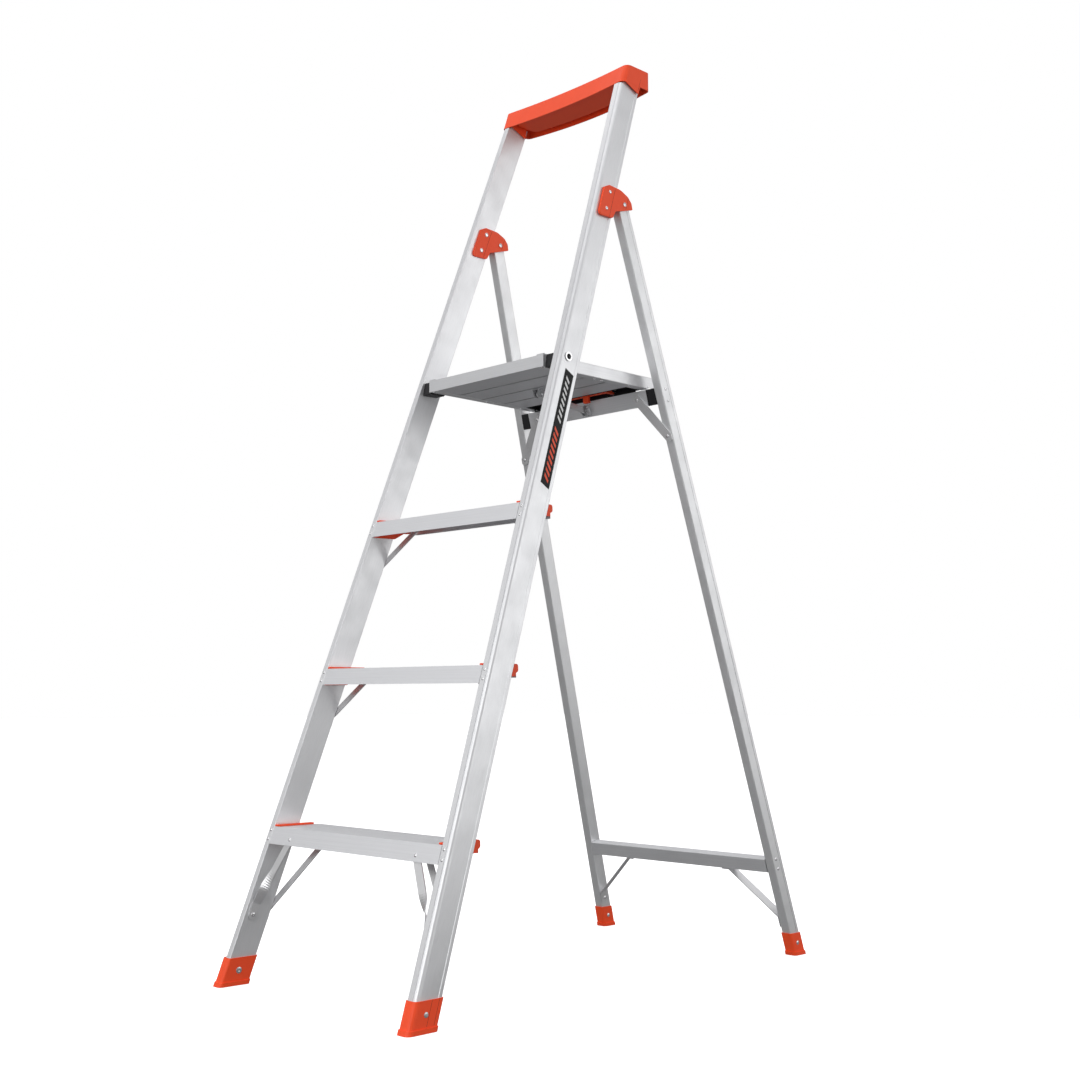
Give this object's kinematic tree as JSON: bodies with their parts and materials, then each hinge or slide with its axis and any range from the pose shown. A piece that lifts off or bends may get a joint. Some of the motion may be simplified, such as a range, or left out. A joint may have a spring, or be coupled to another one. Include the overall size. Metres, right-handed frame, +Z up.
{
  "type": "platform step ladder",
  "caption": "Folding aluminium step ladder with a wide standing platform, a recessed top cap and orange plastic feet, step ends and hinge brackets.",
  "frame": {"origin": "on the floor, under the middle of the opened ladder's box", "axes": "+X to the right of someone about to climb, -Y towards them, +Z up"},
  "size_m": [0.553, 1.0308, 1.781],
  "materials": {
    "aluminium": "mill finish extrusion",
    "orange_plastic": "moulded, satin",
    "black_plastic": "moulded, matte",
    "steel": "zinc-plated"
  },
  "bodies": {
    "front_frame": {"front_stile_right": "aluminium", "front_stile_left": "aluminium", "front_foot_right": "orange_plastic", "front_foot_left": "orange_plastic", "hinge_bracket_right": "orange_plastic", "hinge_bracket_left": "orange_plastic", "leg_hinge_pin_right": "steel", "leg_hinge_pin_left": "steel", "platform_spacer_right": "black_plastic", "platform_spacer_left": "black_plastic", "platform_pivot_right": "steel", "platform_pivot_left": "steel", "top_cap": "orange_plastic", "step_1_front_brace_right": "aluminium", "step_1_front_brace_left": "aluminium", "step_1": "aluminium", "step_1_cap_right": "orange_plastic", "step_1_cap_left": "orange_plastic", "step_1_rear_brace_right": "aluminium", "step_1_rear_brace_left": "aluminium", "step_2": "aluminium", "step_2_cap_right": "orange_plastic", "step_2_cap_left": "orange_plastic", "step_2_rear_brace_right": "aluminium", "step_2_rear_brace_left": "aluminium", "step_3": "aluminium", "step_3_cap_right": "orange_plastic", "step_3_cap_left": "orange_plastic", "step_3_rear_brace_right": "aluminium", "step_3_rear_brace_left": "aluminium"},
    "rear_frame": {"rear_leg_right": "aluminium", "rear_leg_left": "aluminium", "rear_foot_right": "orange_plastic", "rear_foot_left": "orange_plastic", "crossbar_end_right": "black_plastic", "crossbar_end_left": "black_plastic", "upper_strap_right": "aluminium", "upper_strap_left": "aluminium", "lower_strap_right": "aluminium", "lower_strap_left": "aluminium", "upper_crossbar": "aluminium", "lower_crossbar": "aluminium", "link_bracket": "steel", "link_pin_rear": "steel"},
    "platform": {"platform_rail_right": "aluminium", "platform_rail_left": "aluminium", "platform_front_rail": "aluminium", "platform_deck": "aluminium", "latch_housing": "black_plastic", "latch_pin": "steel", "link_clevis": "steel", "link_pin_front": "steel"},
    "link_rear_leaf": {"link_bar_rear": "steel"},
    "link_front_leaf": {"link_bar_front": "steel"},
    "latch": {"latch_lever": "orange_plastic"}
  },
  "joints": [
    {"name": "rear_fold", "type": "hinge", "parent": "front_frame", "child": "rear_frame", "pos_m": [0, 0.07625, 1.47249], "axis": [-1, 0, 0], "range_deg": [0, 34]},
    {"name": "platform_flip", "type": "hinge", "parent": "front_frame", "child": "platform", "pos_m": [0, -0.0972, 1.1333], "axis": [1, 0, 0], "range_deg": [0, 71.2]},
    {"name": "link_rear_turn", "type": "hinge", "parent": "rear_frame", "child": "link_rear_leaf", "pos_m": [0.006, 0.1583, 1.0955], "axis": [-1, 0, 0], "range_deg": [0, 62.7]},
    {"name": "link_front_turn", "type": "hinge", "parent": "platform", "child": "link_front_leaf", "pos_m": [0.006, 0.02662, 1.1115], "axis": [-1, 0, 0], "range_deg": [0, 167.6]},
    {"name": "latch_pull", "type": "hinge", "parent": "platform", "child": "latch", "pos_m": [0, 0.1648, 1.129], "axis": [1, 0, 0], "range_deg": [0, 13], "stiffness_Nm_per_rad": 0.06, "springref_deg": -28.65}
  ],
  "couplings": [
    {"joint": "platform_flip", "follows": "rear_fold", "ratio": 2.0857},
    {"joint": "link_rear_turn", "follows": "rear_fold", "ratio": 1.8333},
    {"joint": "link_front_turn", "follows": "rear_fold", "ratio": 4.919}
  ]
}
